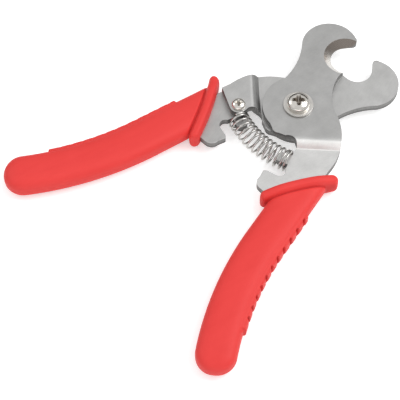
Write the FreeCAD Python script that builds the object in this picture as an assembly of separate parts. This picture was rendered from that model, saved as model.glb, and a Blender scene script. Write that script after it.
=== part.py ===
"""Plier-type pet nail clipper: two crossed steel levers, a return spring and two moulded grips.

Millimetres. The pivot axis is the Z axis, the tool lies on z = 0 and the jaws point along +Y.
The upper lever runs from the left jaw (-X) to the right handle (+X). The lower lever is its
mirror image and is made of a blade screwed onto a handle plate.
"""

import FreeCAD, Part
import math
import os
from FreeCAD import Vector

# Stamped levers
plate = 3.0                       # thickness of the steel sheet
slide_gap = 0.05                  # between faces that turn past each other
head_radius = 14.2                # round head about the pivot
lug_height = 1.5                  # of the small lug on the head's underside
jaw_centre = (-11.3, 30.4)
jaw_radius = 11.4
notch_centre = (-3.2, 31.2)       # cutting notch
notch_radius = 6.0
bevel_width = 2.9                 # of the ground bevel behind the cutting edge
lip_length = 4.0                  # straight lip from the notch to the hook's tip
joggle_angle = 47.5               # the fold's direction, below the X axis
joggle_clearance = 0.36           # the other lever's head to the joggle's first bend
joggle_run = 2.0                  # length of the sloping step, seen from above
bend_radius = 0.8                 # inside radius of the joggle's bends
tab_angle = 19.0                  # the stop tab's face, from the centre line
tab_offset = 15.1                 # joggle to the near end of the stop tab's face
tab_length = 3.3                  # of the stop tab's face

# Lap joint of the lower lever
lap_screw_angle = 45.5            # the screw's direction, below the X axis
lap_margin = 3.6                  # sheet left around the screw
butt_clearance = 1.0              # handle plate to the blade's joggle
lap_screw_diameter = 3.0
lap_head_diameter = 5.5
lap_head_height = 2.0

# Pivot
pivot_diameter = 5.0
pivot_clearance = 0.05            # radial, screw to both levers
pivot_head_diameter = 9.2
pivot_head_height = 3.2
washer_diameter = 12.0
washer_thickness = 0.9
nut_flats = 8.0                   # width across flats
nut_height = 2.1
nut_collar_height = 0.7
nut_collar_wall = 0.5
nylon_wall = 0.8                  # of the nylon ring
table_clearance = 0.2             # under the nut when the tool lies flat

# Return spring
spring_slope = 21.0               # the seats' tilt that bows the spring
spring_diameter = 8.2             # mean diameter of the coil
wire_diameter = 0.9
spring_turns = 12.5
spring_end_gap = 1.2              # seat to the middle of the first wire
tongue_clearance = 0.98           # the seat's tongue to the inside of the coil
tongue_length = 5.5

# Grips
grip_half_width = 7.8
handle_angle = 77.0               # below the X axis
handle_straight = 12.0            # straight run before the bend
handle_bend = 129.0               # radius of the centre line's bend
grip_length = 62.4                # centre line, to the centre of the round end
tang_half_width = 4.5             # of the sheet inside the grip
tang_end_wall = 12.4              # from the sheet's rounded end to the grip's
collar_step = 0.5                 # collar's faces above the grip's
collar_radius = 2.6
collar_rounding = 1.2
heel_back = 4.8                   # heel and toe of the collar's slant, along the handle
toe_back = 23.8
heel_overhang = 1.35              # and beyond the grip's sides
toe_overhang = 0.25
grip_rounding = 3.9
pad_lead = 9.0                    # ribbed strip, ahead of the handle's start
pad_end_wall = 11.4               # from the strip's end to the grip's rounded end
pad_rise = 1.1
pad_width = 6.0
groove_count = 11
groove_width = 1.5
groove_depth = 0.9

# Levels of the two sheets
low_level = table_clearance + nut_collar_height + nut_height + washer_thickness
low_top = low_level + plate
lap_top = low_top + plate
high_level = low_top + slide_gap
high_top = high_level + plate
low_middle = low_level + plate / 2
collar_thickness = 2 * low_middle
grip_thickness = collar_thickness - 2 * collar_step
reach = 200.0                     # longer than the tool, for cutting shapes


def polar(centre, radius, degrees):
    """The point at an angle on a circle."""
    angle = math.radians(degrees)
    return (centre[0] + radius * math.cos(angle), centre[1] + radius * math.sin(angle))


def bend_setback(rise):
    """How far a joggle's bend reaches beyond its corner, on the sheet's middle plane."""
    slope = math.atan2(rise, joggle_run)
    return (plate / 2 + bend_radius) * math.tan(slope / 2)


# The joggle clears the other lever's head, and everything beyond is laid out from its middle
joggle_distance = (
    head_radius + joggle_clearance + bend_setback(plate + slide_gap) + joggle_run / 2
)
lap_start = joggle_distance + joggle_run / 2 + bend_setback(plate)
lap_screw_place = polar((0, 0), lap_start + butt_clearance + lap_margin, -lap_screw_angle)
tab_near = joggle_distance + tab_offset
tab_far = tab_near + tab_length
inner_corner = polar((0, 0), joggle_distance + 1.4, -joggle_angle)


def past_joggle(right, up):
    """A point given from the middle of the joggle, in the tool's directions."""
    middle = polar((0, 0), joggle_distance, -joggle_angle)
    return (middle[0] + right, middle[1] + up)


wide_shoulder = (past_joggle(11.55, 13.19), past_joggle(16.95, 0.39))
narrow_shoulder = (past_joggle(9.95, 13.49), past_joggle(14.85, 0.39))
lap_outer_corner = past_joggle(15.85, -3.21)
spring_seat = past_joggle(3.05, -6.95)
handle_start = past_joggle(18.75, -28.21)
tang_length = grip_length - tang_end_wall
pad_start = -pad_lead
pad_length = grip_length - pad_end_wall + pad_lead
coil_inside = (spring_diameter - wire_diameter) / 2
tongue_width = 2 * math.sqrt((coil_inside - tongue_clearance) ** 2 - (plate / 2) ** 2)
nylon_ring_diameter = pivot_diameter + 2 * nylon_wall
nut_collar_diameter = nylon_ring_diameter + 2 * nut_collar_wall


def handle_point(distance, sideways):
    """The point beside the handle's centre line: a straight run, then an arc curving outwards."""
    turn = max(0.0, distance - handle_straight) / handle_bend
    slope = turn - math.radians(handle_angle)
    straight = min(distance, handle_straight)
    start_slope = -math.radians(handle_angle)
    bend_start = (
        handle_start[0] + straight * math.cos(start_slope),
        handle_start[1] + straight * math.sin(start_slope),
    )
    bend_centre = (
        bend_start[0] - handle_bend * math.sin(start_slope),
        bend_start[1] + handle_bend * math.cos(start_slope),
    )
    from_centre = sideways - handle_bend
    return (
        bend_centre[0] - from_centre * math.sin(slope),
        bend_centre[1] + from_centre * math.cos(slope),
    )


collar_heel = handle_point(-heel_back, -grip_half_width - heel_overhang)
collar_toe = handle_point(-toe_back, grip_half_width + toe_overhang)


class Outline:
    """A closed flat outline, drawn edge after edge."""

    def __init__(self, start):
        self.start = Vector(start[0], start[1], 0)
        self.here = self.start
        self.edges = []

    def line(self, end):
        """A straight edge."""
        there = Vector(end[0], end[1], 0)
        self.edges.append(Part.LineSegment(self.here, there).toShape())
        self.here = there
        return self

    def arc(self, middle, end):
        """A round edge through a middle point."""
        there = Vector(end[0], end[1], 0)
        self.edges.append(Part.Arc(self.here, Vector(middle[0], middle[1], 0), there).toShape())
        self.here = there
        return self

    def arc_arriving(self, end, degrees):
        """A round edge that reaches its end in the given direction."""
        there = Vector(end[0], end[1], 0)
        chord = there - self.here
        turn = math.radians(degrees) - math.atan2(chord.y, chord.x)
        bulge = math.tan(turn / 2) / 2
        middle = self.here + chord / 2 + Vector(chord.y, -chord.x, 0) * bulge
        return self.arc(middle, end)

    def face(self):
        """The face inside the outline, closed by a straight edge where it is still open."""
        if self.here.distanceToPoint(self.start) > 1e-6:
            self.line(self.start)
        return Part.Face(Part.Wire(self.edges))

    def prism(self, bottom, top):
        """The outline as a solid between two levels."""
        return self.face().translated(Vector(0, 0, bottom)).extrude(Vector(0, 0, top - bottom))


def mirrored(shape):
    """The shape's mirror image in the tool's centre plane."""
    return shape.mirror(Vector(0, 0, 0), Vector(1, 0, 0))


def cylinder(radius, bottom, top, centre=(0.0, 0.0)):
    """An upright cylinder between two levels."""
    return Part.makeCylinder(radius, top - bottom, Vector(centre[0], centre[1], bottom))


def ring(outer, inner, bottom, top):
    """An upright ring about the pivot axis."""
    return cylinder(outer, bottom, top).cut(cylinder(inner, bottom, top))


def edges_at(shape, level):
    """The flat edges of a shape that lie at one level."""
    chosen = []
    for edge in shape.Edges:
        box = edge.BoundBox
        if abs(box.ZMin - level) < 1e-3 and abs(box.ZMax - level) < 1e-3:
            chosen.append(edge)
    return chosen


# The levers' outline, drawn for the upper lever: jaw on the left, handle on the right

throat_corner = (1.0, notch_centre[1] - notch_radius)


def draw_throat_and_shoulder(outline, middle, end):
    """From the notch's inner corner down the throat and round the outer shoulder."""
    outline.arc((4.9, 14.6), (14.3, 7.4))
    outline.arc(middle, end)


def draw_tang(outline):
    """Down the handle inside the grip, back up round the stop tab and past the spring seat."""
    bend = (handle_straight + tang_length) / 2
    outline.line(handle_point(0, tang_half_width))
    outline.line(handle_point(handle_straight, tang_half_width))
    outline.arc(handle_point(bend, tang_half_width), handle_point(tang_length, tang_half_width))
    tip = handle_point(tang_length + tang_half_width, 0)
    outline.arc(tip, handle_point(tang_length, -tang_half_width))
    outline.arc(
        handle_point(bend, -tang_half_width), handle_point(handle_straight, -tang_half_width)
    )
    outline.line(handle_point(0, -tang_half_width))
    outline.line(past_joggle(9.65, -24.61))
    face_angle = tab_angle - 90
    outline.line(past_joggle(3.35, -24.51))
    outline.arc(past_joggle(1.35, -23.71), polar((0, 0), tab_far, face_angle))
    outline.line(polar((0, 0), tab_near, face_angle))
    outline.arc(past_joggle(-0.25, -17.01), past_joggle(1.25, -16.51))
    outline.line(past_joggle(3.65, -15.81))
    along = polar((0, 0), 1, 180 + spring_slope)
    across = polar((0, 0), 1, 90 + spring_slope)

    def seat(forward, sideways):
        return (
            spring_seat[0] + forward * along[0] + sideways * across[0],
            spring_seat[1] + forward * along[1] + sideways * across[1],
        )

    seat_half = (spring_diameter + wire_diameter) / 2
    half = tongue_width / 2
    straight = tongue_length - half / 2
    outline.arc(past_joggle(5.95, -13.51), seat(0, -seat_half))
    outline.line(seat(0, -half)).line(seat(straight, -half))
    outline.arc(seat(tongue_length, 0), seat(straight, half))
    outline.line(seat(0, half)).line(seat(0, seat_half)).line(inner_corner)


def draw_lap_end(outline):
    """The blade's end, where it laps the handle plate: cut off straight, rounded at the screw."""
    outline.line(lap_outer_corner)
    outline.line(polar(lap_screw_place, lap_margin, -63.4))
    outline.arc(
        polar(lap_screw_place, lap_margin, -120), polar(lap_screw_place, lap_margin, 180)
    )
    outline.line((lap_screw_place[0] - lap_margin, lap_screw_place[1] + 2.2))
    outline.line(inner_corner)


def draw_head_and_jaw(outline):
    """Along the head's underside with its stop lug, up the neck and round the jaw's hook."""
    underside = head_radius + lug_height * 2 / 3
    outline.arc(polar((0, 0), underside, 307.6), polar((0, 0), underside, 294.9))
    outline.line(polar((0, 0), underside + 0.2, 283.5))
    outline.arc(
        polar((0, 0), head_radius + lug_height, 276.6), polar((0, 0), underside - 0.2, 270.8)
    )
    outline.line(polar((0, 0), head_radius, 263))
    outline.arc(polar((0, 0), head_radius, 205), polar((0, 0), head_radius, 155))
    outline.arc((-15.6, 16.3), polar(jaw_centre, jaw_radius, 215))
    outline.arc(polar(jaw_centre, jaw_radius, 140), polar(jaw_centre, jaw_radius, 66))
    lip_angle = 142
    lip_start = polar(notch_centre, notch_radius, lip_angle)
    tip = polar(lip_start, lip_length, lip_angle - 90)
    outline.arc((tip[0] + 0.35, tip[1] + 1.5), tip)
    outline.line(lip_start)
    outline.arc(
        polar(notch_centre, notch_radius, 205), polar(notch_centre, notch_radius, 270)
    )
    outline.line(throat_corner)


def joggled_sheet(inner_level, outer_level):
    """A wide sheet that steps from one level near the pivot to another beyond the joggle."""
    rise = outer_level - inner_level
    up = math.copysign(1, rise)
    slope = math.atan2(abs(rise), joggle_run)
    half_turn = math.tan(slope / 2)
    first = joggle_distance - joggle_run / 2
    second = joggle_distance + joggle_run / 2

    def side(offset):
        """The bends' ends on one face of the sheet, from the pivot outwards."""
        shift = -up * offset * half_turn
        turns = []
        for corner, level, way in ((first, inner_level, 1), (second, outer_level, -1)):
            radius = bend_radius + plate / 2 - way * up * offset
            length = radius * half_turn
            height = level + plate / 2 + offset
            before = slope if way < 0 else 0
            after = slope if way > 0 else 0
            start = (
                corner + shift - length * math.cos(before),
                height - up * length * math.sin(before),
            )
            end = (
                corner + shift + length * math.cos(after),
                height + up * length * math.sin(after),
            )
            turns.append((start, end, math.degrees(up * before), math.degrees(up * after)))
        return turns

    bottom = side(-plate / 2)
    top = side(plate / 2)
    profile = Outline((-reach, inner_level))
    for start, end, before, after in bottom:
        profile.line(start).arc_arriving(end, after)
    profile.line((reach, outer_level)).line((reach, outer_level + plate))
    for start, end, before, after in reversed(top):
        profile.line(end).arc_arriving(start, before + 180)
    profile.line((-reach, inner_level + plate))
    sheet = profile.face()
    sheet.rotate(Vector(0, 0, 0), Vector(1, 0, 0), 90)
    sheet.translate(Vector(0, reach, 0))
    solid = sheet.extrude(Vector(0, -2 * reach, 0))
    solid.rotate(Vector(0, 0, 0), Vector(0, 0, 1), -joggle_angle)
    return solid


def beyond_joggle(distance, bottom, top):
    """Everything farther from the pivot than a line parallel to the joggle."""
    box = Part.makeBox(reach, 2 * reach, top - bottom, Vector(distance, -reach, bottom))
    box.rotate(Vector(0, 0, 0), Vector(0, 0, 1), -joggle_angle)
    return box


def bevel_cutter(edge_level, open_level):
    """The cone that grinds the notch: the cutting edge's radius at one level, wider at the other."""
    height = abs(open_level - edge_level)
    direction = Vector(0, 0, math.copysign(1, open_level - edge_level))
    base = Vector(notch_centre[0], notch_centre[1], edge_level)
    return Part.makeCone(notch_radius, notch_radius + bevel_width, height, base, direction)


def pivot_hole():
    """The running hole for the pivot screw."""
    return cylinder(pivot_diameter / 2 + pivot_clearance, 0, high_top)


def make_upper_lever():
    """One stamping: left jaw and head on the upper level, right tang on the lower level."""
    outline = Outline(throat_corner)
    draw_throat_and_shoulder(outline, *wide_shoulder)
    draw_tang(outline)
    draw_head_and_jaw(outline)
    lever = outline.prism(0, high_top).common(joggled_sheet(high_level, low_level))
    return lever.cut(bevel_cutter(high_level, high_top)).cut(pivot_hole())


def make_lower_blade():
    """Right jaw and head on the lower level, with a lap that steps up over the handle plate."""
    outline = Outline(throat_corner)
    draw_throat_and_shoulder(outline, *narrow_shoulder)
    draw_lap_end(outline)
    draw_head_and_jaw(outline)
    blade = outline.prism(low_level, lap_top).common(joggled_sheet(low_level, low_top))
    screw_hole = cylinder(lap_screw_diameter / 2, low_top, lap_top, lap_screw_place)
    blade = blade.cut(bevel_cutter(low_top, low_level)).cut(screw_hole)
    return mirrored(blade.cut(pivot_hole()))


def make_lower_handle_plate():
    """The left tang: spring seat, stop tab and the tongue inside the grip."""
    outline = Outline(throat_corner)
    draw_throat_and_shoulder(outline, *narrow_shoulder)
    draw_tang(outline)
    draw_head_and_jaw(outline)
    beyond = beyond_joggle(lap_start + butt_clearance, low_level, low_top)
    tang = outline.prism(low_level, low_top).common(beyond)
    return mirrored(tang.cut(cylinder(lap_screw_diameter / 2, 0, low_top, lap_screw_place)))


# Screws, washers and nut


def cross_recess(size, depth):
    """A cross-shaped driver recess that opens at z = 0, its arms tapering downwards."""
    half = size / 2
    foot = half * 0.45
    arm = Outline((-half, 0)).line((half, 0)).line((foot, -depth)).line((-foot, -depth))
    width = size * 0.24
    wing = arm.prism(-width / 2, width / 2)
    wing.rotate(Vector(0, 0, 0), Vector(1, 0, 0), 90)
    wing.rotate(Vector(0, 0, 0), Vector(0, 0, 1), 45)
    other = wing.copy()
    other.rotate(Vector(0, 0, 0), Vector(0, 0, 1), 90)
    return wing.fuse(other)


def pan_screw(diameter, head_diameter, head_height, length):
    """A pan-head screw with a cross recess, the underside of its head at z = 0."""
    head = cylinder(head_diameter / 2, 0, head_height)
    head = head.makeFillet(head_height * 0.7, edges_at(head, head_height))
    shank = cylinder(diameter / 2, -length, 0)
    shank = shank.makeChamfer(diameter * 0.08, edges_at(shank, -length))
    recess = cross_recess(head_diameter * 0.56, head_height * 0.75)
    recess.translate(Vector(0, 0, head_height))
    return head.fuse(shank).cut(recess).removeSplitter()


washer_bottom = high_top + slide_gap
head_bottom = washer_bottom + washer_thickness
rear_washer_bottom = low_level - washer_thickness
nut_bottom = rear_washer_bottom - nut_height
collar_bottom = nut_bottom - nut_collar_height


def make_pivot_screw():
    """The screw that both levers turn on."""
    length = head_bottom - collar_bottom
    screw = pan_screw(pivot_diameter, pivot_head_diameter, pivot_head_height, length)
    return screw.translated(Vector(0, 0, head_bottom))


def make_washer(bottom):
    """A flat washer about the pivot screw."""
    return ring(washer_diameter / 2, pivot_diameter / 2, bottom, bottom + washer_thickness)


def make_pivot_nut():
    """A hexagon lock nut with a thin round collar for its nylon ring."""
    corner = nut_flats / math.sqrt(3)
    hexagon = Outline(polar((0, 0), corner, 0))
    for side in range(1, 6):
        hexagon.line(polar((0, 0), corner, 60 * side))
    rounded = cylinder(corner, nut_bottom, rear_washer_bottom)
    rounded = rounded.makeChamfer(0.35, edges_at(rounded, nut_bottom))
    nut = hexagon.prism(nut_bottom, rear_washer_bottom).common(rounded)
    nut = nut.fuse(cylinder(nut_collar_diameter / 2, collar_bottom, nut_bottom))
    nut = nut.cut(cylinder(nylon_ring_diameter / 2, collar_bottom, nut_bottom))
    return nut.cut(cylinder(pivot_diameter / 2, collar_bottom, rear_washer_bottom))


def make_nylon_ring():
    """The ring that grips the thread and keeps the nut from backing off."""
    return ring(nylon_ring_diameter / 2, pivot_diameter / 2, collar_bottom, nut_bottom)


def make_lap_screw():
    """The small screw that clamps the blade's lap onto the handle plate."""
    screw = pan_screw(lap_screw_diameter, lap_head_diameter, lap_head_height, 2 * plate)
    return screw.translated(Vector(-lap_screw_place[0], lap_screw_place[1], lap_top))


# Spring


def spring_point(fraction):
    """A point of the spring's wire: a helix about an arc that bows towards the handles."""
    bow = spring_seat[0] / math.sin(math.radians(spring_slope))
    half_angle = math.radians(spring_slope) - spring_end_gap / bow
    bow_centre = spring_seat[1] + bow * math.cos(math.radians(spring_slope))
    place = half_angle * (2 * fraction - 1)
    turn = 2 * math.pi * spring_turns * fraction
    radius = bow + spring_diameter / 2 * math.cos(turn)
    height = low_middle + spring_diameter / 2 * math.sin(turn)
    return Vector(radius * math.sin(place), bow_centre - radius * math.cos(place), height)


def rounded_tube(points, radius):
    """A round wire along straight runs joined by tangent arcs."""
    edges = []
    here = points[0]
    for before, corner, after in zip(points, points[1:], points[2:]):
        back = (before - corner).normalize()
        onward = (after - corner).normalize()
        shorter = min(before.distanceToPoint(corner), after.distanceToPoint(corner))
        length = 0.45 * shorter
        half_turn = (math.pi - back.getAngle(onward)) / 2
        inward = (back + onward).normalize()
        corner_radius = length / math.tan(half_turn)
        middle = corner + inward * (math.hypot(corner_radius, length) - corner_radius)
        start = corner + back * length
        end = corner + onward * length
        edges.append(Part.LineSegment(here, start).toShape())
        edges.append(Part.Arc(start, middle, end).toShape())
        here = end
    edges.append(Part.LineSegment(here, points[-1]).toShape())
    path = Part.Wire(edges)
    section = Part.Wire(Part.Circle(points[0], points[1] - points[0], radius).toShape())
    return path.makePipeShell([section], True, False)


def make_return_spring():
    """The bowed compression spring between the two levers."""
    steps = round(spring_turns * 8)
    points = [spring_point(step / steps) for step in range(steps + 1)]
    return rounded_tube(points, wire_diameter / 2)


# Grips


def grip_body():
    """The handle's moulded body: mouth, outer edge, round end and inner edge."""
    bend = (handle_straight + grip_length) / 2
    outline = Outline(handle_point(-collar_radius, -grip_half_width)).line(collar_toe)
    outline.arc_arriving(handle_point(0, grip_half_width), -handle_angle)
    outline.line(handle_point(handle_straight, grip_half_width))
    outline.arc(handle_point(bend, grip_half_width), handle_point(grip_length, grip_half_width))
    tip = handle_point(grip_length + grip_half_width, 0)
    outline.arc(tip, handle_point(grip_length, -grip_half_width))
    outline.arc(
        handle_point(bend, -grip_half_width), handle_point(handle_straight, -grip_half_width)
    )
    bottom = low_middle - grip_thickness / 2
    top = low_middle + grip_thickness / 2
    body = outline.prism(bottom, top)
    mouth = outline.edges[0].Length
    rim = edges_at(body, bottom) + edges_at(body, top)
    long_rim = [edge for edge in rim if abs(edge.Length - mouth) > 1e-3]
    return body.makeFillet(grip_rounding, long_rim)


def grip_collar():
    """The raised flange round the grip's slanting mouth."""
    angle = math.degrees(
        math.atan2(collar_toe[1] - collar_heel[1], collar_toe[0] - collar_heel[0])
    )
    outline = Outline(polar(collar_heel, collar_radius, angle + 90))
    outline.arc(
        polar(collar_heel, collar_radius, angle + 180), polar(collar_heel, collar_radius, angle - 90)
    )
    outline.line(polar(collar_toe, collar_radius, angle - 90))
    outline.arc(
        polar(collar_toe, collar_radius, angle), polar(collar_toe, collar_radius, angle + 90)
    )
    collar = outline.prism(0, collar_thickness)
    return collar.makeFillet(
        collar_rounding, edges_at(collar, 0) + edges_at(collar, collar_thickness)
    )


def grip_pad():
    """The ribbed strip along the grip's outer edge."""
    outer = grip_half_width + pad_rise
    inner = grip_half_width - 2 * pad_rise
    end = pad_start + pad_length
    bend = (handle_straight + end) / 2
    outline = Outline(handle_point(pad_start, inner)).line(handle_point(pad_start, outer))
    outline.line(handle_point(handle_straight, outer))
    outline.arc(handle_point(bend, outer), handle_point(end, outer))
    outline.line(handle_point(end, inner))
    outline.arc(handle_point(bend, inner), handle_point(handle_straight, inner))
    pad = outline.prism(low_middle - pad_width / 2, low_middle + pad_width / 2)
    pitch = pad_length / (groove_count + 0.5)
    for groove in range(groove_count):
        middle = pad_start + pitch * (groove + 0.75)
        cut = Outline(handle_point(middle - groove_width / 2, outer + 1))
        cut.line(handle_point(middle + groove_width / 2, outer + 1))
        cut.line(handle_point(middle + groove_width / 2, outer - groove_depth))
        cut.line(handle_point(middle - groove_width / 2, outer - groove_depth))
        pad = pad.cut(cut.prism(0, collar_thickness))
    return pad


def make_grip():
    """One right-hand grip without its pocket."""
    return grip_body().fuse([grip_collar(), grip_pad()]).removeSplitter()


def make_all():
    """Every piece, by node name."""
    upper_lever = make_upper_lever()
    lower_handle_plate = make_lower_handle_plate()
    grip = make_grip()
    return {
        "upper_lever": upper_lever,
        "lower_blade": make_lower_blade(),
        "lower_handle_plate": lower_handle_plate,
        "lap_screw": make_lap_screw(),
        "pivot_screw": make_pivot_screw(),
        "pivot_washer_front": make_washer(washer_bottom),
        "pivot_washer_rear": make_washer(rear_washer_bottom),
        "pivot_lock_nut": make_pivot_nut(),
        "nut_nylon_ring": make_nylon_ring(),
        "return_spring": make_return_spring(),
        "right_grip": grip.cut(upper_lever),
        "left_grip": mirrored(grip).cut(lower_handle_plate),
    }


os.makedirs("parts", exist_ok=True)
for node, shape in make_all().items():
    print(node, shape.ShapeType, len(shape.Solids), round(shape.Volume, 2), shape.isValid())
    shape.exportStep("parts/" + node + ".step")
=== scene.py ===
import bpy, bmesh, math
from mathutils import Vector, Matrix


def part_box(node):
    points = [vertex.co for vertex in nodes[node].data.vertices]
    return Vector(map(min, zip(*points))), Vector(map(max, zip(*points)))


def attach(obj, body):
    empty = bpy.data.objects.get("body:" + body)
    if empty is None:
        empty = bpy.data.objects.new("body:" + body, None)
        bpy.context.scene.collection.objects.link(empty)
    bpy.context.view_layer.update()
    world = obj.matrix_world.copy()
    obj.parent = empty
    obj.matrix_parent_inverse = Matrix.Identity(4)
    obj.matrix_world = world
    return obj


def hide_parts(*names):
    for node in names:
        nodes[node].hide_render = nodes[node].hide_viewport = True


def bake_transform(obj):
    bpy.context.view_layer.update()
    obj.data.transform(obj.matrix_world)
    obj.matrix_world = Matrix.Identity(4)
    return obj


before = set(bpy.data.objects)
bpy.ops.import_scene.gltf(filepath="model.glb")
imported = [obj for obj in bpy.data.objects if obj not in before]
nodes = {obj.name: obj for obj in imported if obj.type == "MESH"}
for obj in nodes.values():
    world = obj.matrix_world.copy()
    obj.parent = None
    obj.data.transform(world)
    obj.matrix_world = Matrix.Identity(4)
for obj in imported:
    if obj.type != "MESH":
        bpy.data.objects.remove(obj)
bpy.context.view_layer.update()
mm = 0.001


# --- Levers -----------------------------------------------------------------------------------
# Both levers are stamped from 3 mm stainless sheet, stepped at the joggle so that the two lie
# side by side past the pivot, tumbled to a satin finish, and ground to an edge at the notches.

class Shade:
    """One value, colour or vector of a material, for use in ordinary arithmetic."""

    def __init__(self, tree, socket=None):
        self.tree = tree
        self.socket = socket

    def node(self, kind, settings, sockets, output=0):
        """Any other node: its settings first, then the values or links of its sockets."""
        made = self.tree.nodes.new(kind)
        for name, value in settings.items():
            setattr(made, name, value)
        for name, value in sockets.items():
            if isinstance(value, Shade):
                self.tree.links.new(value.socket, made.inputs[name])
            else:
                made.inputs[name].default_value = value
        return Shade(self.tree, made.outputs[output])

    def math(self, operation, first, second=0.0):
        return self.node("ShaderNodeMath", {"operation": operation}, {0: first, 1: second})

    def __add__(self, other):
        return self.math("ADD", self, other)

    def __sub__(self, other):
        return self.math("SUBTRACT", self, other)

    def __rsub__(self, other):
        return self.math("SUBTRACT", other, self)

    def __mul__(self, other):
        return self.math("MULTIPLY", self, other)

    def __abs__(self):
        return self.math("ABSOLUTE", self)

    __radd__ = __add__
    __rmul__ = __mul__

    def rise(self, low, high):
        """0 below low, 1 above high, smooth between them."""
        return self.node(
            "ShaderNodeMapRange", {"interpolation_type": "SMOOTHSTEP"},
            {"Value": self, "From Min": low, "From Max": high},
        )

    def part(self, axis):
        """One component of a vector."""
        return self.node("ShaderNodeSeparateXYZ", {}, {0: self}, axis)

    def stretched(self, scale, turn=0.0):
        """A place in the piece, turned about Z and scaled per metre along each axis."""
        turned = self.node(
            "ShaderNodeVectorRotate", {"rotation_type": "Z_AXIS"}, {"Vector": self, "Angle": turn}
        )
        return self.node("ShaderNodeVectorMath", {"operation": "MULTIPLY"}, {0: turned, 1: scale})

    def out_from(self, x, y):
        """How far a place is from an upright line at x and y."""
        return self.node(
            "ShaderNodeVectorMath", {"operation": "DISTANCE"},
            {0: self.stretched((1, 1, 0)), 1: (x, y, 0)}, "Value",
        )

    def grain(self, scale, detail=3.0, roughness=0.5, turn=0.0):
        """Noise from 0 to 1, scaled per metre along each axis."""
        return self.node(
            "ShaderNodeTexNoise", {},
            {"Vector": self.stretched(scale, turn), "Scale": 1.0, "Detail": detail,
             "Roughness": roughness},
        )

    def blended(self, first, second):
        """The first colour where this value is 0, the second where it is 1."""
        colours = [c if isinstance(c, Shade) else (*c, 1) for c in (first, second)]
        return self.node(
            "ShaderNodeMix", {"data_type": "RGBA"}, {0: self, 6: colours[0], 7: colours[1]}, 2
        )

    def metal(self, green, blue):
        """This value as a metal's colour, its green and blue a little lower than its red."""
        return self.node(
            "ShaderNodeCombineColor", {}, {0: self, 1: self * green, 2: self * blue}
        )

    def bumps(self, distance, strength):
        """This value as a height of so many metres."""
        sockets = {"Height": self, "Distance": distance, "Strength": strength}
        return self.node("ShaderNodeBump", {}, sockets)


def new_finish(name, plain):
    """A material with its plain numbers set, its place and facing, and a way to link the rest."""
    finish = bpy.data.materials.new(name)
    finish.use_nodes = True
    tree = finish.node_tree
    shader = tree.nodes["Principled BSDF"]
    for socket, value in plain.items():
        shader.inputs[socket].default_value = value
    place = Shade(tree).node("ShaderNodeTexCoord", {}, {}, "Object")
    facing = Shade(tree).node("ShaderNodeTexCoord", {}, {}, "Normal")

    def link(**values):
        for socket, value in values.items():
            tree.links.new(value.socket, shader.inputs[socket.replace("_", " ")])

    return finish, place, facing, link


sheet = 3.0 * mm
sheet_bottom = 3.9 * mm
notch_x = 3.2 * mm
notch_y = 31.2 * mm
notch_reach = 9.0 * mm
joggle_x = 0.676
joggle_y = -0.737
joggle_start = 15.0 * mm
joggle_end = 16.8 * mm


def satin_steel(name, tone, notch_side, bend_painted_light, tang_painted_light_tone=None):
    """Tumbled stainless sheet: cloudy, finely brushed along the lever, with sheared walls in
    painted shade.

    A notch_side of 1 is the jaw whose ground notch opens to the right. The tones are how bright
    the steel is, the painted highlight or painted shade its bends add, and the brighter
    painted-light tone past the joggle.
    """
    finish, place, facing, link = new_finish(name, {"Metallic": 1.0})
    clouds = place.grain((150, 150, 150), 4.0, 0.6)
    brushing = place.grain((5200, 260, 900), 3.0, 0.6, notch_side * 0.22)
    tumbling = place.grain((1500, 1500, 1500), 4.0, 0.65)
    scuffs = place.grain((700, 9000, 700), 2.0, 0.5, 0.9).rise(0.66, 0.74)
    scuffs = scuffs * place.grain((260, 260, 260), 2.0).rise(0.5, 0.62)
    shear = place.grain((4200, 4200, 240), 3.0, 0.7)
    stone_marks = place.grain((300, 300, 5000), 2.0, 0.5)

    # Sheared walls stand upright. Slopes are the ground notch and, further out, the bends.
    flatness = abs(facing.part(2))
    wall = 1 - flatness.rise(0.1, 0.3)
    sloping = flatness.rise(0.4, 0.6) * (1 - flatness.rise(0.9, 0.97))
    notch = place.out_from(-notch_x * notch_side, notch_y)
    ground = sloping * (1 - notch.rise(notch_reach, notch_reach + 0.5 * mm))
    bends = sloping * notch.rise(notch_reach + 0.5 * mm, notch_reach + 1.5 * mm)

    level = tone * (0.80 + 0.36 * clouds + 0.22 * (brushing - 0.5) + 0.12 * (tumbling - 0.5))
    # Past the joggle the same steel is painted brighter, as painted light.
    if tang_painted_light_tone:
        beyond = place.part(0) * joggle_x + place.part(1) * joggle_y
        level = level * (1 + (tang_painted_light_tone / tone - 1) * beyond.rise(joggle_start, joggle_end))
    # The bends get a painted highlight or painted shade; the scuffs are lighter wear.
    level = level + 0.10 * scuffs + bend_painted_light * bends

    # The punch leaves a bright sheared land and a darker torn one, which meet at the break line.
    # The whole wall is also painted much darker than the flats: painted shade.
    above_break = place.math("PINGPONG", place.part(2) - sheet_bottom, sheet)
    break_line = above_break.rise(0.30 * sheet, 0.47 * sheet)
    wall_shear_and_shade_level = tone * (0.26 + 0.34 * shear) * (0.70 + 0.30 * break_line)

    # The ground notch is painted darker and browner towards the side away from its mouth.
    depth = (place.part(1) - notch_y) * 0.5 - place.part(0) * (0.86 * notch_side) - 2.8 * mm
    ground_colour = depth.rise(1.5 * mm, 6.2 * mm).blended((0.62, 0.60, 0.57), (0.27, 0.235, 0.21))

    colour = wall.blended(level.metal(0.995, 0.98), wall_shear_and_shade_level.metal(0.99, 0.97))
    roughness = 0.34 + 0.10 * clouds + 0.08 * (brushing - 0.5) - 0.10 * scuffs + 0.14 * wall
    fine = brushing * 0.6 + tumbling * 0.8 + shear * wall * 2.0 + stone_marks * ground * 0.6
    link(
        Base_Color=ground.blended(colour, ground_colour),
        Roughness=roughness - 0.12 * ground + 0.28 * bends,
        Normal=fine.bumps(0.012 * mm, 0.7),
    )
    return finish


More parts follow.
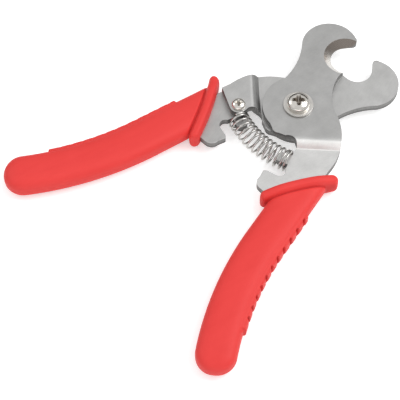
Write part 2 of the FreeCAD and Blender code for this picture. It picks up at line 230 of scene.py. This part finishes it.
def dress(piece, finish, edge=0.0, angle=35):
    """Gives a piece its finish and rounds its edges, where they turn by more than an angle."""
    piece.data.materials.clear()
    piece.data.materials.append(finish)
    for polygon in piece.data.polygons:
        polygon.material_index = 0
    if edge:
        weld = piece.modifiers.new("joined faces", "WELD")
        weld.merge_threshold = 0.001 * mm
        eased = piece.modifiers.new("eased edges", "BEVEL")
        eased.width = edge
        eased.segments = 2
        eased.limit_method = "ANGLE"
        eased.angle_limit = math.radians(angle)
        eased.use_clamp_overlap = True
        flats = piece.modifiers.new("flat faces", "WEIGHTED_NORMAL")
        flats.keep_sharp = False
        flats.weight = 90


tumbled_edge = 0.16 * mm
dress(nodes["upper_lever"], satin_steel("upper lever steel", 0.48, 1, 0.22, 0.69), tumbled_edge)
dress(nodes["lower_blade"], satin_steel("blade steel", 0.55, -1, -0.20), tumbled_edge)
dress(nodes["lower_handle_plate"], satin_steel("handle plate steel", 0.51, -1, 0.0), tumbled_edge)


# --- Screws, washers and nut ------------------------------------------------------------------
# Cold-headed steel screws with pan heads and cross recesses, nickel plated. The large one is the
# pivot, through two washers into a lock nut; the small one clamps the blade to its handle plate.

def nickel_plate(name, tone, roughness, recess=None):
    """Bright plating with faint pits and, in a screw, painted shade down in the recess."""
    finish, place, _, link = new_finish(name, {"Metallic": 1.0})
    film = place.grain((420, 420, 420), 4.0, 0.6)
    pits = place.grain((4200, 4200, 4200), 2.0, 0.6)
    pit_stain_and_recess_shade = pits.rise(0.70, 0.80) * 0.25
    if recess:
        x, y, top, reach = recess
        # Painted shade darkens the cross recess towards its bottom.
        inside = 1 - place.out_from(x, y).rise(reach * 0.9, reach)
        recess_shade = inside * (1 - place.part(2).rise(top - 1.3 * mm, top - 0.35 * mm))
        pit_stain_and_recess_shade = place.math("MAXIMUM", pit_stain_and_recess_shade, recess_shade * 0.9)
    filmed = tuple(channel * 0.78 for channel in tone)
    colour = (film.rise(0.35, 0.7) * 0.7).blended(tone, filmed)
    link(
        Base_Color=pit_stain_and_recess_shade.blended(colour, (0.26, 0.23, 0.2)),
        Roughness=roughness + 0.12 * film + 0.15 * pit_stain_and_recess_shade,
        Normal=pits.bumps(0.003 * mm, 0.5),
    )
    return finish


washer_plating = nickel_plate("washer plate", (0.66, 0.64, 0.61), 0.26)


def new_piece(name, mesh_maker):
    """An object from a function that fills a bmesh."""
    shape = bmesh.new()
    mesh_maker(shape)
    bmesh.ops.recalc_face_normals(shape, faces=shape.faces)
    data = bpy.data.meshes.new(name)
    shape.to_mesh(data)
    shape.free()
    for polygon in data.polygons:
        polygon.use_smooth = True
    piece = bpy.data.objects.new(name, data)
    bpy.context.scene.collection.objects.link(piece)
    return piece


def wall_between(shape, lower, upper):
    """A band of faces from one ring of corners to the next."""
    for step in range(len(lower)):
        following = (step + 1) % len(lower)
        shape.faces.new((lower[step], lower[following], upper[following], upper[step]))


def turned(profile, steps=64):
    """A function that fills a bmesh with a turned shape from (radius, height) points in mm."""
    def fill(shape):
        rows = []
        for radius, height in profile:
            if radius == 0:
                rows.append([shape.verts.new((0, 0, height * mm))])
                continue
            row = []
            for step in range(steps):
                angle = 2 * math.pi * step / steps
                row.append(shape.verts.new(
                    (radius * mm * math.cos(angle), radius * mm * math.sin(angle), height * mm)
                ))
            rows.append(row)
        for lower, upper in zip(rows, rows[1:]):
            if len(lower) == len(upper):
                wall_between(shape, lower, upper)
                continue
            tip, ring = (lower[0], upper) if len(lower) == 1 else (upper[0], lower)
            for step in range(steps):
                shape.faces.new((tip, ring[step], ring[(step + 1) % steps]))
    return fill


def cross_punch(size, depth):
    """A function that fills a bmesh with the punch of a cross recess, its tip downwards."""
    def fill(shape):
        arm = size / 2
        web = size * 0.115
        above = 0.6
        corners = []
        for quarter in range(4):
            turn = Matrix.Rotation(math.pi * quarter / 2 + math.pi / 4, 3, "Z")
            corners.append(turn @ Vector((arm, -web, 0)))
            corners.append(turn @ Vector((arm, web, 0)))
            corners.append(turn @ Vector((web * 1.5, web * 1.5, 0)))
        rings = []
        for height, spread in ((above, 1.12), (0, 1), (-depth * 0.75, 0.52), (-depth, 0.16)):
            rings.append([
                shape.verts.new(Vector((corner.x * spread, corner.y * spread, height)) * mm)
                for corner in corners
            ])
        for upper, lower in zip(rings, rings[1:]):
            wall_between(shape, lower, upper)
        shape.faces.new(rings[0])
        shape.faces.new(rings[-1])
    return fill


def cut_away(piece, tool):
    """Cuts one piece by another, which is then thrown away."""
    cutting = piece.modifiers.new("cut", "BOOLEAN")
    cutting.object = tool
    cutting.operation = "DIFFERENCE"
    cutting.solver = "EXACT"
    finished_mesh(piece)
    bpy.data.objects.remove(tool)


def finished_mesh(piece):
    """Replaces a piece's mesh by what its modifiers make of it."""
    bpy.context.view_layer.update()
    evaluated = piece.evaluated_get(bpy.context.evaluated_depsgraph_get())
    data = bpy.data.meshes.new_from_object(evaluated)
    piece.modifiers.clear()
    piece.data = data
    for polygon in piece.data.polygons:
        polygon.use_smooth = True


def pan_head_screw(name, node, head_width, head_height, thread):
    """A pan-head screw that stands where its CAD node does."""
    low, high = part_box(node)
    length = (high[2] - low[2]) / mm - head_height
    half = head_width / 2
    shank = thread / 2
    rim = 0.18
    chamfer = 0.35
    profile = [(0, head_height)]
    for step in range(1, 9):
        angle = math.radians(90 - 10 * step)
        height = head_height * (0.42 + 0.58 * math.sin(angle))
        profile.append((half * 0.98 * math.cos(angle), height))
    profile += [
        (half, head_height * 0.36), (half, rim), (half - rim, 0), (shank, 0),
        (shank, -length + chamfer), (shank - chamfer, -length), (0, -length),
    ]
    piece = new_piece(name, turned(profile))
    punch = new_piece(name + " punch", cross_punch(head_width * 0.62, head_height * 0.72))
    punch.location.z = head_height * mm * 0.985
    cut_away(piece, punch)
    middle = [(low[axis] + high[axis]) / 2 for axis in (0, 1)]
    piece.data.transform(Matrix.Translation((middle[0], middle[1], high[2] - head_height * mm)))
    recess = (middle[0], middle[1], high[2], head_width * 0.34 * mm)
    plating = nickel_plate(name + " plate", (0.78, 0.75, 0.70), 0.09, recess)
    dress(piece, plating, 0.07 * mm, 40)
    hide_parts(node)
    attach(piece, "lower_side")


pan_head_screw("pivot_pan_screw", "pivot_screw", 9.2, 3.2, 5.0)
pan_head_screw("lap_pan_screw", "lap_screw", 5.5, 2.0, 3.0)
for washer in ("pivot_washer_front", "pivot_washer_rear"):
    dress(nodes[washer], washer_plating, 0.15 * mm)
dress(nodes["pivot_lock_nut"], washer_plating, 0.12 * mm)



def milky_nylon():
    """The nut's locking ring: hazy white nylon."""
    finish, place, _, link = new_finish("nylon", {"Metallic": 0.0})
    haze = place.grain((900, 900, 900), 3.0)
    link(
        Base_Color=haze.blended((0.74, 0.74, 0.70), (0.82, 0.82, 0.79)),
        Roughness=0.35 + 0.2 * haze,
        Normal=haze.bumps(0.02 * mm, 0.5),
    )
    return finish


dress(nodes["nut_nylon_ring"], milky_nylon(), 0.08 * mm)


# --- Return spring ----------------------------------------------------------------------------
# A compression spring of bright drawn wire, its end turns closed, threaded over a tongue on each
# lever. It bows towards the handles and pushes them apart.

coil_radius = 4.1
wire_radius = 0.45
seat_x = 14.4
seat_y = -19.34
seat_tilt = math.radians(21.0)
spring_level = 5.4
bow = seat_x / math.sin(seat_tilt)
bow_middle = seat_y + bow * math.cos(seat_tilt)
turns = 13.5
closed_turns = 1.25
end_gap = 0.1
closed_gap = 0.06
arc = 2 * (bow * seat_tilt - wire_radius - end_gap)
closed_pitch = 2 * wire_radius + closed_gap
open_pitch = (arc - 2 * closed_turns * closed_pitch) / (turns - 2 * closed_turns)


def along_spring(turn):
    """How far along the bow the wire is after a number of turns, in mm."""
    first = min(turn, closed_turns)
    last = max(0.0, turn - (turns - closed_turns))
    return (first + last) * closed_pitch + (turn - first - last) * open_pitch


def beside_bow(turn, out, up):
    """A point so far outside and above the bow, where the wire is after a number of turns."""
    swing = (along_spring(turn) - arc / 2) / bow
    out += bow
    return Vector((
        out * math.sin(swing), bow_middle - out * math.cos(swing), spring_level + up
    ))


def wire_centre(turn):
    """The wire's middle line: a helix about the bow."""
    around = 2 * math.pi * turn + math.radians(70)
    return beside_bow(turn, coil_radius * math.cos(around), coil_radius * math.sin(around))


def fill_spring(shape):
    """The wire as a round tube along its middle line, cut square at both ends."""
    steps = int(turns * 40)
    sides = 14
    nearby = 0.01
    rows = []
    for step in range(steps + 1):
        turn = turns * step / steps
        here = wire_centre(turn)
        ahead = wire_centre(min(turns, turn + nearby)) - wire_centre(max(0, turn - nearby))
        ahead.normalize()
        outward = (here - beside_bow(turn, 0, 0)).normalized()
        outward = (outward - ahead * outward.dot(ahead)).normalized()
        side = ahead.cross(outward)
        row = []
        for corner in range(sides):
            angle = 2 * math.pi * corner / sides
            offset = outward * math.cos(angle) + side * math.sin(angle)
            row.append(shape.verts.new((here + offset * wire_radius) * mm))
        rows.append(row)
    for lower, upper in zip(rows, rows[1:]):
        wall_between(shape, lower, upper)
    shape.faces.new(rows[0])
    shape.faces.new(rows[-1])


def drawn_wire():
    """Bright drawn wire under a thin film of oil, with the die's fine marks."""
    finish, place, _, link = new_finish("drawn spring wire", {"Metallic": 1.0})
    film = place.grain((700, 700, 700), 3.0, 0.6)
    die_marks = place.grain((3000, 3000, 3000), 3.0, 0.7)
    link(
        Base_Color=film.blended((0.46, 0.45, 0.435), (0.60, 0.585, 0.565)),
        Roughness=0.12 + 0.12 * film + 0.06 * die_marks,
        Normal=die_marks.bumps(0.01 * mm, 0.6),
    )
    return finish


spring = new_piece("bowed_spring", fill_spring)
dress(spring, drawn_wire())
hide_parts("return_spring")
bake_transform(spring)


# --- Grips ------------------------------------------------------------------------------------
# Soft red plastic moulded over the levers' tangs: a crowned body curving outwards, a rounded
# flange round the slanting mouth to stop the hand, and a notched strip along the outer side.

handle_start = Vector((30.1, -40.6))
handle_slope = math.radians(77.0)
straight_run = 12.0
bend = 129.0
grip_end = 62.4
half_width = 7.8
half_thickness = 4.9
middle_level = 5.4


def handle_point(distance, sideways, height):
    """A point beside the handle's middle line, which runs straight and then curves outwards."""
    slope = max(0.0, distance - straight_run) / bend - handle_slope
    straight = min(distance, straight_run)
    start_x = handle_start.x + straight * math.cos(handle_slope)
    start_y = handle_start.y - straight * math.sin(handle_slope)
    centre_x = start_x + bend * math.sin(handle_slope)
    centre_y = start_y + bend * math.cos(handle_slope)
    out = sideways - bend
    return Vector((
        centre_x - out * math.sin(slope), centre_y + out * math.cos(slope), middle_level + height
    ))


def rounded_section(width, thickness, sharpness, corners=40):
    """Points round a soft-cornered section."""
    points = []
    for corner in range(corners):
        angle = 2 * math.pi * corner / corners
        side, up = math.cos(angle), math.sin(angle)
        points.append((
            math.copysign(abs(side) ** (2 / sharpness), side) * width,
            math.copysign(abs(up) ** (2 / sharpness), up) * thickness,
        ))
    return points


def loft(shape, rows):
    """Joins rows of points into a closed skin."""
    rings = [[shape.verts.new(point * mm) for point in row] for row in rows]
    for lower, upper in zip(rings, rings[1:]):
        wall_between(shape, lower, upper)
    shape.faces.new(rings[0])
    shape.faces.new(rings[-1])


neck_depth = 0.55
neck_start = -14.0
neck_run = 26.0


def fill_body(shape):
    """The body, from inside the flange to the round end."""
    rows = []
    stations = [-26 + 1.5 * step for step in range(59)]
    stations += [grip_end + half_width * math.sin(math.radians(6 * step)) for step in range(1, 15)]
    for distance in stations:
        past = max(0.0, distance - grip_end) / half_width
        shrink = math.sqrt(max(0.0, 1 - past * past))
        width = half_width * shrink
        neck = neck_depth * max(0.0, 1 - max(0.0, distance - neck_start) / neck_run)
        thickness = (half_thickness - neck) * shrink ** 0.72
        section = rounded_section(width, thickness, 3.1)
        rows.append([handle_point(distance, side, up) for side, up in section])
    loft(shape, rows)


heel = Vector((19.5, -38.2))
toe = Vector((32.6, -14.7))
flange_half = 2.25
flange_bow = 0.8
flange_height = 5.4
flange_end = 8.0
flange_length = (toe - heel).length
flange_run = (toe - heel).normalized()
to_jaws = Vector((-flange_run.y, flange_run.x))


def flange_bowed(along):
    """How far the flange bows towards the jaws, so far along it."""
    from_middle = along * (2 / flange_length) - 1
    return flange_bow * (1 - from_middle * from_middle)


def fill_flange(shape):
    """The rounded flange along the mouth's slant."""
    rows = []
    steps = 24
    round_steps = 8
    for step in range(-round_steps, steps + round_steps + 1):
        along = flange_length * min(max(step, 0), steps) / steps
        around = math.radians(10.5 * (min(step, 0) + max(step - steps, 0)))
        along += flange_half * math.sin(around)
        shrink = math.cos(around)
        inside = max(0.0, min(along, flange_length - along)) / flange_end
        crown = flange_height * (0.80 + 0.20 * math.sin(min(1.0, inside) * math.pi / 2))
        crown *= 0.45 + 0.55 * shrink ** 0.8
        centre = heel + flange_run * along + to_jaws * flange_bowed(along)
        rows.append([
            Vector((*(centre + to_jaws * side), middle_level + up))
            for side, up in rounded_section(flange_half * shrink, crown, 3.0)
        ])
    loft(shape, rows)


strip_start = -6.0
strip_length = 57.0
strip_inset = 2.2


def fill_strip(shape):
    """The raised strip on the outer side, its ends stepping over the body's top edge."""
    rows = []
    for step in range(41):
        distance = strip_start + strip_length * step / 40
        rows.append([
            handle_point(distance, half_width - strip_inset + side, up)
            for side, up in rounded_section(3.15, 3.7, 3.6)
        ])
    loft(shape, rows)


notches = 11
first_notch = -3.1
notch_pitch = 4.9
notch_depth = 2.8
notch_height = 3.0
wedge_faces = (
    (0, 1, 3, 2), (4, 6, 7, 5), (0, 4, 5, 1), (2, 3, 7, 6), (0, 2, 6, 4), (1, 5, 7, 3),
)


def fill_notch_cutters(shape):
    """The wedges that notch the strip's side between its rims."""
    for notch in range(notches):
        distance = first_notch + notch_pitch * notch
        corners = []
        for side, along in ((half_width - notch_depth, 0.60), (half_width + 2.5, 1.25)):
            for sign in (-1, 1):
                for up, spread in ((-notch_height, 1.0), (notch_height, 0.85)):
                    corner = handle_point(distance + sign * along * spread, side, up)
                    corners.append(shape.verts.new(corner * mm))
        for face in wedge_faces:
            shape.faces.new([corners[corner] for corner in face])


crease_depth = 0.20
crease_width = 0.45


def moulded_grip():
    """Body, flange and strip in one moulding, with the soft inside corners of a mould."""
    grip = new_piece("right_moulded_grip", fill_body)
    body = bmesh.new()
    body.from_mesh(grip.data)
    bmesh.ops.bisect_plane(
        body, geom=list(body.verts) + list(body.edges) + list(body.faces), dist=0.0001 * mm,
        plane_co=(*(heel * mm), 0), plane_no=(*to_jaws, 0), clear_outer=True,
    )
    bmesh.ops.holes_fill(body, edges=[edge for edge in body.edges if edge.is_boundary], sides=0)
    body.to_mesh(grip.data)
    body.free()
    for name, fill in (("flange", fill_flange), ("strip", fill_strip)):
        joined = new_piece(name, fill)
        union = grip.modifiers.new(name, "BOOLEAN")
        union.object = joined
        union.operation = "UNION"
        union.solver = "EXACT"
        finished_mesh(grip)
        bpy.data.objects.remove(joined)
    cut_away(grip, new_piece("notches", fill_notch_cutters))
    skin = grip.modifiers.new("skin", "REMESH")
    skin.mode = "VOXEL"
    skin.voxel_size = 0.26 * mm
    finished_mesh(grip)
    soft = grip.modifiers.new("soft corners", "SMOOTH")
    soft.factor = 0.5
    soft.iterations = 3
    finished_mesh(grip)
    for vertex in grip.data.vertices:
        place = Vector((vertex.co.x, vertex.co.y)) / mm - heel
        behind = flange_bowed(place.dot(flange_run)) - place.dot(to_jaws) - flange_half
        crease = crease_depth * math.exp(-((behind - 0.2) / crease_width) ** 2)
        vertex.co.z -= crease * (vertex.co.z - middle_level * mm)
    return grip


def red_plastic():
    """Soft satin plastic: a fine spark-eroded texture and the mould's parting line."""
    finish, place, _, link = new_finish(
        "red moulded plastic", {"Metallic": 0.0, "IOR": 1.46, "Specular IOR Level": 0.3}
    )
    cloud = place.grain((90, 90, 90), 3.0, 0.5)
    texture = place.grain((5200, 5200, 5200), 3.0, 0.6)
    flow = place.grain((420, 60, 420), 3.0, 0.5, 0.2)
    parting = 1 - abs(place.part(2) - middle_level * mm).rise(0.06 * mm, 0.18 * mm)

    # Painted shade: a dark line in the crease behind the flange, on both grips.
    x = abs(place.part(0)) * (1 / mm) - heel.x
    y = place.part(1) * (1 / mm) - heel.y
    behind = flange_bowed(x * flange_run.x + y * flange_run.y) - flange_half
    behind = behind - x * to_jaws.x - y * to_jaws.y
    crease = 1 - abs(behind - 0.25).rise(0.1, 0.7)

    colour = (cloud * 0.6 + flow * 0.4).blended((0.74, 0.040, 0.036), (0.84, 0.062, 0.057))
    colour = (texture.rise(0.55, 0.8) * 0.25).blended(colour, (0.88, 0.10, 0.09))
    colour = (parting * 0.35).blended(colour, (0.66, 0.03, 0.028))
    colour = (crease * 0.55).blended(colour, (0.42, 0.012, 0.012))
    height = texture * 0.35 + parting * 3.0
    link(
        Base_Color=colour, Roughness=0.42 + 0.12 * cloud + 0.10 * texture,
        Normal=height.bumps(0.03 * mm, 0.6),
    )
    return finish


red = red_plastic()
right_grip = moulded_grip()
left_grip = bpy.data.objects.new("left_moulded_grip", right_grip.data.copy())
bpy.context.scene.collection.objects.link(left_grip)
left_grip.data.transform(Matrix.Scale(-1, 4, (1, 0, 0)))
left_grip.data.flip_normals()
for grip, node, body in (
    (right_grip, "right_grip", "upper_side"), (left_grip, "left_grip", "lower_side"),
):
    dress(grip, red)
    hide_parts(node)
    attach(grip, body)


# --- Studio -----------------------------------------------------------------------------------
# The clipper lies on a white table under two large soft lamps.

scene = bpy.context.scene
table_data = bpy.data.meshes.new("table")
table_data.from_pydata([(-3, -3, 0), (3, -3, 0), (3, 3, 0), (-3, 3, 0)], [], [(0, 1, 2, 3)])
table = bpy.data.objects.new("table", table_data)
scene.collection.objects.link(table)
table.location.z = -0.02 * mm
white = bpy.data.materials.new("white table")
white.use_nodes = True
start = Shade(white.node_tree)
camera_ray = start.node("ShaderNodeLightPath", {}, {}, "Is Camera Ray")
glossy_ray = start.node("ShaderNodeLightPath", {}, {}, "Is Glossy Ray")
seen = start.math("MAXIMUM", camera_ray, glossy_ray)
matt = start.node("ShaderNodeBsdfDiffuse", {}, {"Color": (0.88, 0.88, 0.88, 1)})
glow = start.node("ShaderNodeEmission", {}, {"Color": (1, 1, 1, 1), "Strength": seen * 0.45})
both = start.node("ShaderNodeAddShader", {}, {0: matt, 1: glow})
surface = white.node_tree.nodes["Material Output"].inputs["Surface"]
white.node_tree.links.new(both.socket, surface)
table.data.materials.append(white)

# The room is grey below and paler above, with a bright band low in front and a dark card beside
# it for the metal to reflect.
world = bpy.data.worlds.new("studio")
scene.world = world
world.use_nodes = True
start = Shade(world.node_tree)
direction = start.node("ShaderNodeTexCoord", {}, {}, "Generated")
upward = direction.part(2)
room = upward.rise(0.10, 0.75).blended((0.46, 0.46, 0.46), (0.82, 0.82, 0.82))
front = (direction.part(0) * 0.65 - direction.part(1) * 0.75).rise(0.75, 1.0)
front = front * (1 - upward.rise(0.20, 0.40))
room = front.blended(room, (2.4, 2.4, 2.4))
card = (direction.part(1) * 0.35 - direction.part(0) * 0.94).rise(0.25, 0.45)
card = card * (1 - upward.rise(0.35, 0.50)) * upward.rise(0.02, 0.10)
room = (card * 0.9).blended(room, (0.05, 0.045, 0.04))
camera_ray = start.node("ShaderNodeLightPath", {}, {}, "Is Camera Ray")
room = camera_ray.blended(room, (1.0, 1.0, 1.0))
background = world.node_tree.nodes["Background"]
world.node_tree.links.new(room.socket, background.inputs["Color"])


def soft_lamp(name, place, aim, size, watts):
    """A square soft lamp that faces a point."""
    data = bpy.data.lights.new(name, "AREA")
    data.size = size
    data.energy = watts
    lamp = bpy.data.objects.new(name, data)
    lamp.location = place
    lamp.rotation_euler = (Vector(aim) - Vector(place)).to_track_quat("-Z", "Y").to_euler()
    scene.collection.objects.link(lamp)


clipper_middle = (0, -0.03, 0)
soft_lamp("overhead lamp", (0.36, 0.50, 0.85), clipper_middle, 0.6, 4.5)
soft_lamp("side lamp", (-0.7, -0.3, 0.6), clipper_middle, 0.4, 0.8)

camera_data = bpy.data.cameras.new("camera")
camera_data.lens = 135.0
camera_data.sensor_width = 36.0
camera_data.clip_start = 0.01
camera = bpy.data.objects.new("camera", camera_data)
camera.location = (0.2155, -0.2640, 0.5005)
camera.rotation_euler = Vector((-0.369, 0.359, -0.857)).to_track_quat("-Z", "Y").to_euler()
scene.collection.objects.link(camera)
scene.camera = camera
scene.view_settings.view_transform = "Standard"
